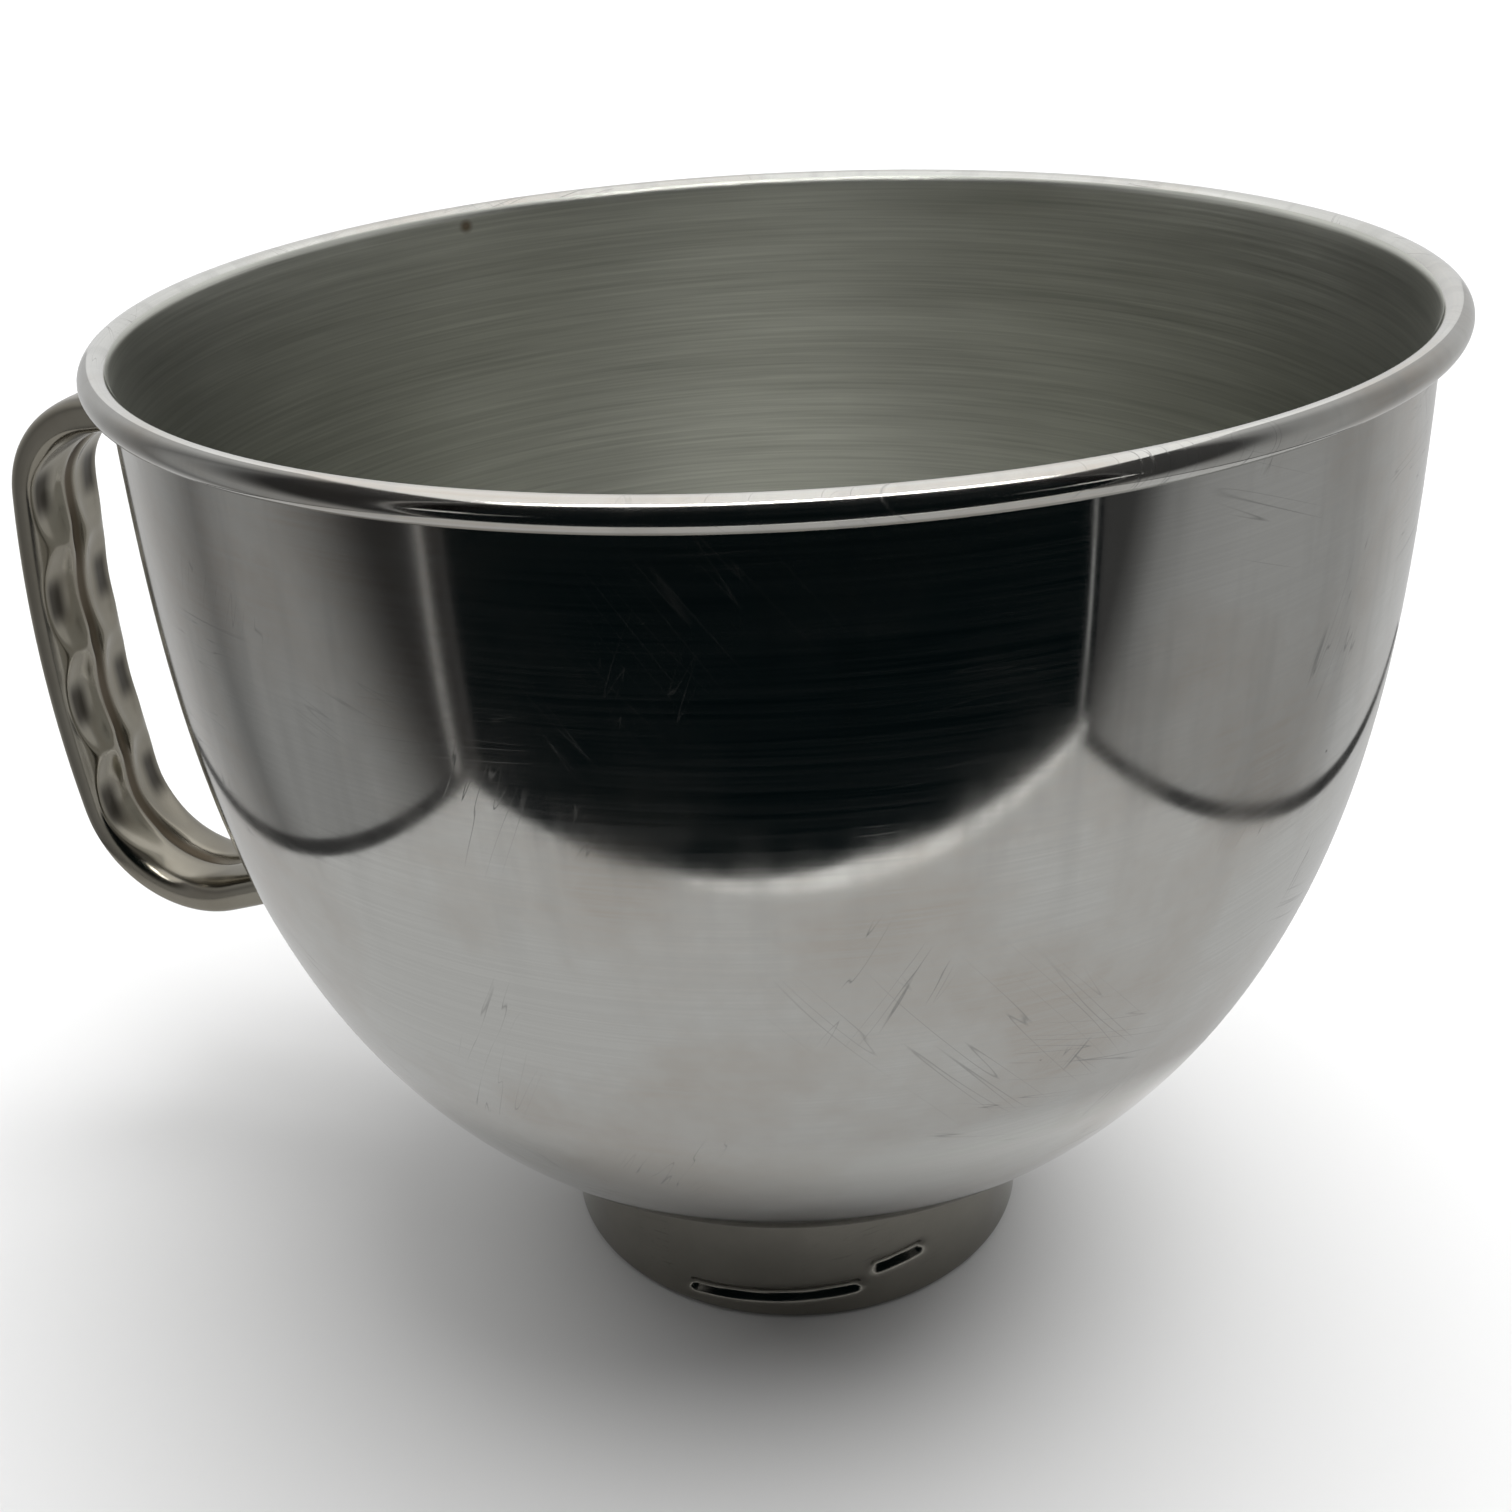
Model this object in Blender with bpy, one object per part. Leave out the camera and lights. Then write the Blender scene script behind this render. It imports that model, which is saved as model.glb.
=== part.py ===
"""Stainless steel mixing bowl for a stand mixer: deep-drawn body with a curled rim,
pressed twist-lock collar under it, and a hollow handle with finger grips.

Built in metres, +Z up. The collar stands on Z = 0 and the handle points along -X.
Lengths below are in millimetres and are turned into metres as each mesh is made.
"""

import math

import bmesh
import bpy

MM = 0.001
GAP = 0.3  # clearance kept between neighbouring solids

# Bowl body
BOWL_HEIGHT = 190.5  # floor to the top of the rim
RIM_RADIUS = 114.5  # outermost point of the rolled rim
BEAD_RADIUS = 2.5  # outer radius of the rolled rim's own section
SHEET = 0.8  # wall of the drawn bowl
WALL_RADIUS = 110.3  # outside of the wall just under the rim
DRAW_DEPTH = 175.0  # rim top to the lowest point of the outside
WALL_POWER = 3.0  # how late the wall turns in: higher keeps it straight for longer
CURL_END_DEG = -118.0  # the curl stops just clear of the wall, so it is never sealed
PUNT_RADIUS = 20.0  # low dome pressed up in the middle of the bottom
PUNT_RISE = 4.0
BOWL_SEGMENTS = 96

# Twist-lock collar
COLLAR_RADIUS = 46.5
COLLAR_SHEET = 1.0
COLLAR_CORNER = 1.6  # outside bend between the wall and the turned-in foot
FOOT_INNER_RADIUS = 39.0
GROOVE_SETS = 3
GROOVE_DEPTH = 1.3
SET_START_DEG = -98.7  # direction of the first set's lower end
LONG_GROOVE = {"sweep": 40.0, "offset": 0.0, "low": 5.0, "high": 6.9, "half": 1.9}
SHORT_GROOVE = {"sweep": 11.0, "offset": 45.5, "low": 10.6, "high": 11.6, "half": 2.0}
COLLAR_SEGMENTS = 132

# Handle: corners of its centre line as (distance from the bowl's axis, height)
HANDLE_TOP_HEIGHT = 167.0
HANDLE_TOP_CORNER = (156.5, 161.0)
HANDLE_LOW_CORNER = (155.4, 44.8)
HANDLE_LOW_END = (86.0, 68.0)
TOP_BEND = 20.0
LOW_BEND = 21.5
GRIP_BOW = 3.4  # how far the grip bows outwards between its bends
HANDLE_WIDTH = 23.4
HANDLE_THICKNESS = 8.5
HANDLE_SHEET = 1.0
SEAM_WIDTH = 0.9  # slit where the shell's edges meet, on the finger side
SEAM_SINK = 1.3  # how far the edges roll in to the slit
GRIP_PITCH = 24.2  # one finger's hollow to the next
GRIP_COUNT = 4
GRIP_DEPTH = 1.5
GRIP_TOP_HEIGHT = 158.1
GRIP_REACH = 140.0  # hollows lie only further than this from the bowl's axis
SECTION_POWER = 4.0  # squareness of the rounded section

# The handle reaches further than the rim, so the bowl's axis sits off the box's middle.
HANDLE_REACH = 163.65  # outermost point of the bowed grip
AXIS_X = (HANDLE_REACH - RIM_RADIUS) / 2


def clear_scene():
    for obj in list(bpy.data.objects):
        bpy.data.objects.remove(obj, do_unlink=True)


def steel(name, colour, roughness):
    material = bpy.data.materials.new(name)
    material.use_nodes = True
    shader = material.node_tree.nodes["Principled BSDF"]
    shader.inputs["Base Color"].default_value = (*colour, 1.0)
    shader.inputs["Metallic"].default_value = 1.0
    shader.inputs["Roughness"].default_value = roughness
    return material


def add_object(name, points, faces, material):
    """One closed mesh from points in millimetres, measured from the bowl's axis."""
    mesh = bpy.data.meshes.new(name)
    shifted = [((x + AXIS_X) * MM, y * MM, z * MM) for x, y, z in points]
    mesh.from_pydata(shifted, [], faces)
    body = bmesh.new()
    body.from_mesh(mesh)
    bmesh.ops.recalc_face_normals(body, faces=body.faces)
    body.to_mesh(mesh)
    body.free()
    mesh.materials.append(material)
    for polygon in mesh.polygons:
        polygon.use_smooth = True
    obj = bpy.data.objects.new(name, mesh)
    bpy.context.scene.collection.objects.link(obj)
    return obj


def smooth_step(value):
    value = min(max(value, 0.0), 1.0)
    return value * value * (3.0 - 2.0 * value)


# ---------------------------------------------------------------- bowl body


def wall_radius(height):
    """Outside radius of the bowl's wall at a height above the floor."""
    depth = min(max(BOWL_HEIGHT - height, 0.0), DRAW_DEPTH)
    return WALL_RADIUS * math.sqrt(1.0 - (depth / DRAW_DEPTH) ** WALL_POWER)


def wall_height(radius):
    """Height of the bowl's outside at a radius, without the dome in the bottom."""
    part = 1.0 - (radius / WALL_RADIUS) ** 2
    return BOWL_HEIGHT - DRAW_DEPTH * part ** (1.0 / WALL_POWER)


def punt_rise(radius):
    if radius >= PUNT_RADIUS:
        return 0.0
    return PUNT_RISE * math.cos(math.pi * radius / (2.0 * PUNT_RADIUS)) ** 2


def outside_line(steps):
    """(radius, height) along the outside, from the bottom's middle to under the rim."""
    turn = BOWL_HEIGHT - 32.0  # above this height the wall is stepped by height
    turn_radius = wall_radius(turn)
    low_end = 0.62 * turn_radius
    low = [low_end * step / steps for step in range(steps + 1)]
    line = [(radius, wall_height(radius) + punt_rise(radius)) for radius in low]
    start = line[-1][1]
    top = BOWL_HEIGHT - BEAD_RADIUS
    for step in range(1, steps + 1):
        height = start + (top - start) * step / steps
        line.append((wall_radius(height), height))
    return line


def offset_inwards(line, distance):
    """The same line moved to its left, which is the bowl's inside."""
    moved = []
    for index, (radius, height) in enumerate(line):
        before = line[max(index - 1, 0)]
        after = line[min(index + 1, len(line) - 1)]
        along = (after[0] - before[0], after[1] - before[1])
        length = math.hypot(*along)
        if index == 0:
            moved.append((0.0, height + distance))
            continue
        step_radius = -along[1] / length * distance
        step_height = along[0] / length * distance
        moved.append((radius + step_radius, height + step_height))
    return moved


def curl_arc(radius, first_deg, last_deg, steps):
    centre = (RIM_RADIUS - BEAD_RADIUS, BOWL_HEIGHT - BEAD_RADIUS)
    arc = []
    for step in range(steps + 1):
        angle = math.radians(first_deg + (last_deg - first_deg) * step / steps)
        arc.append(
            (centre[0] + radius * math.cos(angle), centre[1] + radius * math.sin(angle))
        )
    return arc


def bowl_section():
    """Half section from the axis on the outside round to the axis on the inside."""
    outside = outside_line(9)
    inside = offset_inwards(outside, SHEET)
    under_curl = curl_arc(BEAD_RADIUS - SHEET, 180.0, CURL_END_DEG, 7)
    over_curl = curl_arc(BEAD_RADIUS, CURL_END_DEG, 0.0, 4)
    over_curl += curl_arc(BEAD_RADIUS, 0.0, 180.0, 6)[1:]
    return outside[:-1] + under_curl + over_curl + inside[-2::-1]


def revolve(section, segments):
    """Points and faces of a section that starts and ends on the axis."""
    points = [(0.0, 0.0, section[0][1]), (0.0, 0.0, section[-1][1])]
    rings = []
    for radius, height in section[1:-1]:
        first = len(points)
        for step in range(segments):
            angle = 2.0 * math.pi * step / segments
            points.append((radius * math.cos(angle), radius * math.sin(angle), height))
        rings.append([first + step for step in range(segments)])
    faces = []
    for step in range(segments):
        after = (step + 1) % segments
        faces.append((0, rings[0][after], rings[0][step]))
        faces.append((1, rings[-1][step], rings[-1][after]))
        for low, high in zip(rings, rings[1:]):
            faces.append((low[step], low[after], high[after], high[step]))
    return points, faces


def build_bowl():
    points, faces = revolve(bowl_section(), BOWL_SEGMENTS)
    material = steel("polished_stainless_bowl", (0.62, 0.62, 0.60), 0.18)
    add_object("bowl_body", points, faces, material)


# ------------------------------------------------------------ base collar


def groove_depth(angle_deg, height):
    """How far the collar's wall is pressed in at a direction and height."""
    deepest = 0.0
    spacing = 360.0 / GROOVE_SETS
    local = (angle_deg - SET_START_DEG) % spacing
    for groove in (LONG_GROOVE, SHORT_GROOVE):
        run = local - groove["offset"]
        if run > spacing / 2:
            run -= spacing
        part = min(max(run / groove["sweep"], 0.0), 1.0)
        middle = groove["low"] + (groove["high"] - groove["low"]) * part
        past_end = run - part * groove["sweep"]
        across = math.radians(past_end) * COLLAR_RADIUS
        distance = math.hypot(across, height - middle)
        depth = GROOVE_DEPTH * smooth_step((groove["half"] - distance) / 1.2)
        deepest = max(deepest, depth)
    return deepest


def collar_loop(angle_deg):
    """Closed section of the collar in one direction: foot, wall, and back inside."""
    top = wall_height(COLLAR_RADIUS) - GAP
    inner_radius = COLLAR_RADIUS - COLLAR_SHEET
    inner_top = wall_height(inner_radius) - GAP
    outside = []
    inside = []
    heights = [COLLAR_CORNER + 0.4, 3.3, 4.6, 5.9, 7.2, 8.6, 9.9, 11.2, 12.5, 14.0, 19.0]
    for height in heights:
        depth = groove_depth(angle_deg, height)
        outside.append((COLLAR_RADIUS - depth, height))
        inside.append((inner_radius - depth, height))
    corner = []
    corner_inside = []
    for step in range(4):
        angle = math.radians(-90.0 + 30.0 * step)
        centre = COLLAR_RADIUS - COLLAR_CORNER
        bend = COLLAR_CORNER - COLLAR_SHEET
        corner.append(
            (
                centre + COLLAR_CORNER * math.cos(angle),
                COLLAR_CORNER + COLLAR_CORNER * math.sin(angle),
            )
        )
        corner_inside.append(
            (centre + bend * math.cos(angle), COLLAR_CORNER + bend * math.sin(angle))
        )
    loop = [(FOOT_INNER_RADIUS, 0.0)]
    loop += corner + outside + [(COLLAR_RADIUS, top), (inner_radius, inner_top)]
    loop += inside[::-1] + corner_inside[::-1]
    loop.append((FOOT_INNER_RADIUS, COLLAR_SHEET))
    return loop


def sweep_ring(loop_at, segments):
    points = []
    for step in range(segments):
        angle = 360.0 * step / segments
        turn = math.radians(angle)
        for radius, height in loop_at(angle):
            points.append((radius * math.cos(turn), radius * math.sin(turn), height))
    count = len(loop_at(0.0))
    faces = []
    for step in range(segments):
        here = step * count
        after = (step + 1) % segments * count
        for index in range(count):
            following = (index + 1) % count
            faces.append(
                (here + index, here + following, after + following, after + index)
            )
    return points, faces


def build_collar():
    points, faces = sweep_ring(collar_loop, COLLAR_SEGMENTS)
    material = steel("stainless_collar", (0.50, 0.49, 0.46), 0.24)
    add_object("base_collar", points, faces, material)


# ------------------------------------------------------------------ handle


def unit(vector):
    length = math.hypot(*vector)
    return (vector[0] / length, vector[1] / length)


def rounded_corner(before, corner, after, radius, steps):
    """Arc of a radius that touches both lines of a corner, as a list of points."""
    back = unit((before[0] - corner[0], before[1] - corner[1]))
    ahead = unit((after[0] - corner[0], after[1] - corner[1]))
    cosine = back[0] * ahead[0] + back[1] * ahead[1]
    half = math.acos(cosine) / 2.0
    reach = radius / math.tan(half)
    start = (corner[0] + back[0] * reach, corner[1] + back[1] * reach)
    middle = unit((back[0] + ahead[0], back[1] + ahead[1]))
    away = radius / math.sin(half)
    centre = (corner[0] + middle[0] * away, corner[1] + middle[1] * away)
    first = math.atan2(start[1] - centre[1], start[0] - centre[0])
    sweep = -(math.pi - 2.0 * half)
    arc = []
    for step in range(steps + 1):
        angle = first + sweep * step / steps
        arc.append(
            (centre[0] + radius * math.cos(angle), centre[1] + radius * math.sin(angle))
        )
    return arc


def between(start, end, steps):
    """Points between two ends, without the ends."""
    parts = [step / steps for step in range(1, steps)]
    return [
        (start[0] + (end[0] - start[0]) * part, start[1] + (end[1] - start[1]) * part)
        for part in parts
    ]


def bowed(start, end, steps):
    """Points between two ends that swing out smoothly by GRIP_BOW at the middle."""
    along = unit((end[0] - start[0], end[1] - start[1]))
    points = []
    for step, (distance, height) in enumerate(between(start, end, steps), 1):
        swing = GRIP_BOW * math.sin(math.pi * step / steps) ** 2
        points.append((distance - along[1] * swing, height + along[0] * swing))
    return points


def handle_line():
    """Centre line in (distance from the axis, height), from the top end to the low end."""
    top_end = (wall_radius(HANDLE_TOP_HEIGHT) + GAP, HANDLE_TOP_HEIGHT)
    top = rounded_corner(top_end, HANDLE_TOP_CORNER, HANDLE_LOW_CORNER, TOP_BEND, 7)
    low = rounded_corner(
        HANDLE_TOP_CORNER, HANDLE_LOW_CORNER, HANDLE_LOW_END, LOW_BEND, 9
    )
    line = [top_end] + between(top_end, top[0], 3) + top
    line += bowed(top[-1], low[0], 20) + low
    return line + between(low[-1], HANDLE_LOW_END, 4) + [HANDLE_LOW_END]


def grip_press(distance, height):
    """0 on a ridge between fingers and 1 in the middle of a finger's hollow."""
    run = GRIP_TOP_HEIGHT - height
    length = GRIP_PITCH * GRIP_COUNT
    if distance < GRIP_REACH or run <= 0.0 or run >= length:
        return 0.0
    return math.sin(math.pi * run / GRIP_PITCH) ** 2


def handle_section(press):
    """Open shell section as (across, outwards), starting and ending at the slit."""
    half_width = HANDLE_WIDTH / 2
    half_thick = HANDLE_THICKNESS / 2
    power = 2.0 / SECTION_POWER
    count = 22
    first = math.asin(min(1.0, (SEAM_WIDTH / 2 / half_width) ** (1.0 / power)))
    outer = []
    for step in range(count + 1):
        turn = first + (2.0 * math.pi - 2.0 * first) * step / count
        sine = math.sin(turn)
        cosine = math.cos(turn)
        across = half_width * math.copysign(abs(sine) ** power, sine)
        out = -half_thick * math.copysign(abs(cosine) ** power, cosine)
        if cosine > 0.0:
            lobe = abs(across) / half_width
            out += SEAM_SINK * (1.0 - smooth_step(lobe / 0.30))
            out += GRIP_DEPTH * press * smooth_step(lobe / 0.25) * (1.0 - lobe**4)
        outer.append((across, out))
    inner = []
    for index, (across, out) in enumerate(outer):
        before = outer[max(index - 1, 0)]
        after = outer[min(index + 1, count)]
        along = unit((after[0] - before[0], after[1] - before[1]))
        inner.append(
            (across - along[1] * HANDLE_SHEET, out + along[0] * HANDLE_SHEET)
        )
    return outer + inner[::-1]


def run_to_wall(distance, across, height, direction):
    """Slides a point along a direction until it is GAP clear of the bowl's wall."""
    for _ in range(30):
        step = 0.05
        slope = (wall_radius(height + step) - wall_radius(height - step)) / (2 * step)
        target = wall_radius(height) + GAP * math.hypot(1.0, slope)
        short = math.hypot(distance, across) - target
        rate = direction[0] * distance / math.hypot(distance, across)
        rate -= slope * direction[1]
        move = -short / rate
        distance += direction[0] * move
        height += direction[1] * move
    return distance, height


def build_handle():
    line = handle_line()
    last = len(line) - 1
    points = []
    for index, (distance, height) in enumerate(line):
        before = line[max(index - 1, 0)]
        after = line[min(index + 1, last)]
        along = unit((after[0] - before[0], after[1] - before[1]))
        outwards = (-along[1], along[0])
        for across, out in handle_section(grip_press(distance, height)):
            point = (distance + outwards[0] * out, height + outwards[1] * out)
            if index in (0, last):
                point = run_to_wall(point[0], across, point[1], along)
            points.append((-point[0], across, point[1]))
    count = len(handle_section(0.0))
    faces = [tuple(range(count)), tuple(last * count + n for n in range(count))[::-1]]
    for index in range(last):
        here = index * count
        after = here + count
        for step in range(count):
            following = (step + 1) % count
            faces.append((here + step, here + following, after + following, after + step))
    material = steel("stainless_handle", (0.56, 0.54, 0.50), 0.20)
    add_object("handle", points, faces, material)


def main():
    clear_scene()
    build_bowl()
    build_collar()
    build_handle()


main()
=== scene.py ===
"""Stainless steel mixing bowl for a stand mixer, modelled and finished around its CAD frame.

One operator makes each piece: the drawn bowl, the pressed collar and the handle. One
more sets the stage. Lengths are in metres; the tables of sizes below are written in
millimetres times MM.
"""

import math

import bpy
from mathutils import Matrix, Vector


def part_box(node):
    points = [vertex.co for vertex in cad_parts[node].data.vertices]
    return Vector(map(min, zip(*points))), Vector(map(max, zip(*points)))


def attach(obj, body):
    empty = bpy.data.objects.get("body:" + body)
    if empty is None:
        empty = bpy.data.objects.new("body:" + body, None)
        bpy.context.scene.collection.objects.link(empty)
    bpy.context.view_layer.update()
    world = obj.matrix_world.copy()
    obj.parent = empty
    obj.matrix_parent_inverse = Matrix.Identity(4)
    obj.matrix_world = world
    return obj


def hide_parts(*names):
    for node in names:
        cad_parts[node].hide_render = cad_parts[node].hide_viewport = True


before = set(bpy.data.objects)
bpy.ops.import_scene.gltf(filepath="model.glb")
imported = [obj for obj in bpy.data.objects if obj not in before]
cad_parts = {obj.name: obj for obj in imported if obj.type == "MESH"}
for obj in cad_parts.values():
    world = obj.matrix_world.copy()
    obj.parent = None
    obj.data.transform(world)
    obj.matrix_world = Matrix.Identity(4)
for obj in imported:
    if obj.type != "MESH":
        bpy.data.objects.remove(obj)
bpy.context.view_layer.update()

bl_info = {
    "name": "Mixing Bowl with Twist-lock Collar",
    "version": (1, 0, 0),
    "blender": (4, 5, 0),
    "location": "3D View > Sidebar > Mixing Bowl",
    "description": "Models and finishes a stainless steel mixing bowl, its collar and handle",
    "category": "Object",
}

MM = 0.001
BOWL_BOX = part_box("bowl_body")
COLLAR_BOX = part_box("base_collar")
HANDLE_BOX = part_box("handle")
AXIS_X = (BOWL_BOX[0].x + BOWL_BOX[1].x) / 2  # the bowl's own axis stands at this X
TIDY = 2e-6  # points closer than this are one point
GRIP_PITCH = 24.2 * MM  # one finger hollow to the next
HALF_GRIP = 12.0 * MM  # about half the grip's width
CLEARANCE = 0.1 * MM  # keeps the grip just inside its CAD box


# ------------------------------------------------------------------ settings


def length_property(name, description, default):
    return bpy.props.FloatProperty(
        name=name,
        description=description,
        default=default,
        min=0.0,
        subtype="DISTANCE",
        unit="LENGTH",
        precision=5,
    )


def linear(hex_colour):
    """Linear red, green and blue of an sRGB colour written as #rrggbb."""
    values = []
    for start in (1, 3, 5):
        value = int(hex_colour[start : start + 2], 16) / 255.0
        low = value / 12.92
        high = ((value + 0.055) / 1.055) ** 2.4
        values.append(low if value <= 0.04045 else high)
    return tuple(values)


def colour_property(name, description, hex_colour):
    return bpy.props.FloatVectorProperty(
        name=name,
        description=description,
        default=linear(hex_colour),
        size=3,
        min=0.0,
        max=1.0,
        subtype="COLOR",
    )


class BowlSizes(bpy.types.PropertyGroup):
    """Sizes of the drawn bowl with its curled rim"""

    height: length_property("Height", "Floor to the top of the rim", BOWL_BOX[1].z)
    rim_radius: length_property(
        "Rim radius", "Outermost point of the curled rim", BOWL_BOX[1].x - AXIS_X
    )
    bead_radius: length_property("Bead radius", "Outside radius of the curl", 2.5 * MM)
    sheet: length_property("Sheet", "Thickness of the drawn wall", 0.8 * MM)
    wall_radius: length_property("Wall radius", "Outside, just under the rim", 110.3 * MM)
    draw_depth: length_property("Draw depth", "Rim top to the lowest point", 175.0 * MM)
    punt_radius: length_property("Dome radius", "Low dome in the bottom", 20.0 * MM)
    punt_rise: length_property("Dome rise", "Height of that dome", 4.0 * MM)


class CollarSizes(bpy.types.PropertyGroup):
    """Sizes of the twist-lock collar under the bowl"""

    radius: length_property("Radius", "Outside of the collar's wall", COLLAR_BOX[1].y)
    sheet: length_property("Sheet", "Thickness of the collar's wall", 1.0 * MM)
    corner: length_property("Corner", "Bend between wall and foot", 1.6 * MM)
    foot_inner: length_property("Foot inner radius", "Hole in the foot", 39.0 * MM)
    groove_depth: length_property("Groove depth", "Depth of the pressed grooves", 1.3 * MM)


class HandleSizes(bpy.types.PropertyGroup):
    """Sizes of the folded handle"""

    width: length_property("Width", "Across the grip", HANDLE_BOX[1].y * 2 - CLEARANCE)
    thickness: length_property("Thickness", "Finger side to outer side", 8.4 * MM)
    seam_sink: length_property("Seam sink", "How far the edges roll in", 1.6 * MM)
    grip_depth: length_property("Hollow depth", "Depth of a finger's hollow", 1.8 * MM)
    grip_pitch: length_property("Hollow pitch", "One hollow to the next", GRIP_PITCH)


class SteelColours(bpy.types.PropertyGroup):
    """Colours of the steel finishes"""

    polished: colour_property("Polished", "Outside of the bowl", "#c8c8c4")
    satin: colour_property("Satin", "Inside of the bowl", "#d3d4cc")
    # The collar's colour is set darker than the bowl's steel, partly as painted shade for the
    # shadow it stands in under the bowl.
    collar: colour_property("Collar", "Collar under the bowl", "#8f8c84")
    handle: colour_property("Handle", "Handle", "#9b978c")
    # Tarnish is laid in random patches over the whole handle; the darker brown down the seam
    # is painted shade, with a colour of its own.
    tarnish: colour_property("Tarnish", "Brown film in the handle's seam", "#7f7768")


# ------------------------------------------------------------ mesh helpers


def deselect_everything():
    if bpy.context.mode != "OBJECT":
        bpy.ops.object.mode_set(mode="OBJECT")
    bpy.ops.object.select_all(action="DESELECT")


def start_line(name, point):
    """A new mesh of one vertex, left in edit mode to be drawn on by extruding."""
    deselect_everything()
    bpy.ops.mesh.primitive_plane_add(size=MM, location=(0.0, 0.0, 0.0))
    piece = bpy.context.active_object
    piece.name = name
    piece.data.name = name
    bpy.ops.object.mode_set(mode="EDIT")
    bpy.ops.mesh.select_all(action="SELECT")
    bpy.ops.mesh.merge(type="CENTER")
    bpy.ops.transform.translate(value=point)
    return piece


def extrude_by(move):
    bpy.ops.mesh.extrude_region_move(TRANSFORM_OT_translate={"value": tuple(move)})


def draw_line(name, points):
    """Draws a line through points, vertex by vertex, and selects all of it."""
    piece = start_line(name, points[0])
    for here, there in zip(points, points[1:]):
        extrude_by(Vector(there) - Vector(here))
    bpy.ops.mesh.select_all(action="SELECT")
    return piece


def close_and_face_outwards():
    bpy.ops.mesh.select_all(action="SELECT")
    bpy.ops.mesh.remove_doubles(threshold=TIDY)
    bpy.ops.mesh.normals_make_consistent(inside=False)
    bpy.ops.object.mode_set(mode="OBJECT")


def turn_on_axis(name, section, steps):
    """A section of (radius, height) spun once round the bowl's axis."""
    points = [(AXIS_X + radius, 0.0, height) for radius, height in section]
    piece = draw_line(name, points)
    bpy.ops.mesh.spin(
        steps=steps, angle=2 * math.pi, center=(AXIS_X, 0.0, 0.0), axis=(0.0, 0.0, 1.0)
    )
    close_and_face_outwards()
    return piece


def apply_modifier(piece, modifier):
    bpy.context.view_layer.objects.active = piece
    bpy.ops.object.modifier_apply(modifier=modifier.name)


def press(piece, name, depth, direction, share_at):
    """Presses a detail into a piece: share_at gives 0 to 1 of the depth at a point."""
    group = piece.vertex_groups.new(name=name)
    for vertex in piece.data.vertices:
        share = share_at(vertex.co)
        if share > 0.0:
            group.add([vertex.index], share, "REPLACE")
    modifier = piece.modifiers.new(name, "DISPLACE")
    modifier.vertex_group = name
    modifier.direction = direction
    modifier.mid_level = 0.0
    modifier.strength = -depth
    apply_modifier(piece, modifier)
    piece.vertex_groups.remove(piece.vertex_groups[name])


def give_materials(piece, materials, slot_at):
    """Adds materials, then assigns each face the one that slot_at gives for it."""
    for material in materials:
        piece.data.materials.append(material)
    deselect_everything()
    bpy.context.view_layer.objects.active = piece
    for index in range(1, len(materials)):
        bpy.ops.object.mode_set(mode="EDIT")
        bpy.ops.mesh.select_mode(type="FACE")
        bpy.ops.mesh.select_all(action="DESELECT")
        bpy.ops.object.mode_set(mode="OBJECT")
        for polygon in piece.data.polygons:
            polygon.select = slot_at(polygon) == index
        piece.active_material_index = index
        bpy.ops.object.mode_set(mode="EDIT")
        bpy.ops.object.material_slot_assign()
        bpy.ops.mesh.select_mode(type="VERT")
        bpy.ops.object.mode_set(mode="OBJECT")


def finish_piece(piece, node):
    """Smooth shading, and the piece's place in the frame."""
    deselect_everything()
    bpy.context.view_layer.objects.active = piece
    piece.select_set(True)
    bpy.ops.object.shade_smooth()
    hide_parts(node)
    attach(piece, "root")


def smooth_step(value):
    value = min(max(value, 0.0), 1.0)
    return value * value * (3.0 - 2.0 * value)


# ---------------------------------------------------------- material helpers


def new_material(name):
    material = bpy.data.materials.new(name)
    material.use_nodes = True
    material.node_tree.nodes.clear()
    return material


def add_node(tree, kind, inputs=None, **settings):
    """Adds a node, sets its properties, and sets or links inputs by name or number."""
    node = tree.nodes.new(kind)
    for key, value in settings.items():
        setattr(node, key, value)
    for key, value in (inputs or {}).items():
        if isinstance(value, bpy.types.NodeSocket):
            tree.links.new(value, node.inputs[key])
        else:
            node.inputs[key].default_value = value
    return node.outputs[0] if node.outputs else node


def times(tree, first, second):
    return add_node(tree, "ShaderNodeMath", {0: first, 1: second}, operation="MULTIPLY")


def plus(tree, first, second):
    return add_node(tree, "ShaderNodeMath", {0: first, 1: second}, operation="ADD")


def weighted(tree, base, *terms):
    """A base value plus each (value, weight) of the terms, multiplied out."""
    total = base
    for value, weight in terms:
        total = plus(tree, total, times(tree, value, weight))
    return total


def dimmed(colour, share):
    return [share * part for part in colour]


def mixed(tree, factor, first, second):
    """Mixes two colours by a factor."""
    node = tree.nodes.new("ShaderNodeMix")
    node.data_type = "RGBA"
    # The inputs that a mix of colours uses are its factor, 0, and its colours, 6 and 7.
    for index, value in ((0, factor), (6, first), (7, second)):
        if isinstance(value, bpy.types.NodeSocket):
            tree.links.new(value, node.inputs[index])
        else:
            node.inputs[index].default_value = (*value, 1.0)
    return node.outputs[2]


def ramp(tree, factor, stops):
    """A ramp of greys over a factor, from (position, grey) stops."""
    output = add_node(tree, "ShaderNodeValToRGB", {"Fac": factor})
    elements = output.node.color_ramp.elements
    while len(elements) < len(stops):
        elements.new(1.0)
    for element, (position, value) in zip(elements, stops):
        element.position = position
        element.color = (value, value, value, 1.0)
    return output


def spread(tree, value, low, high, first=0.0, last=1.0, smooth=False):
    """Maps low to high onto first to last, and holds both ends."""
    return add_node(
        tree,
        "ShaderNodeMapRange",
        {"Value": value, 1: low, 2: high, 3: first, 4: last},
        interpolation_type="SMOOTHSTEP" if smooth else "LINEAR",
    )


def noise(tree, place, scale, detail, roughness=0.5):
    inputs = {"Vector": place, "Scale": scale, "Detail": detail, "Roughness": roughness}
    return add_node(tree, "ShaderNodeTexNoise", inputs)


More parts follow.
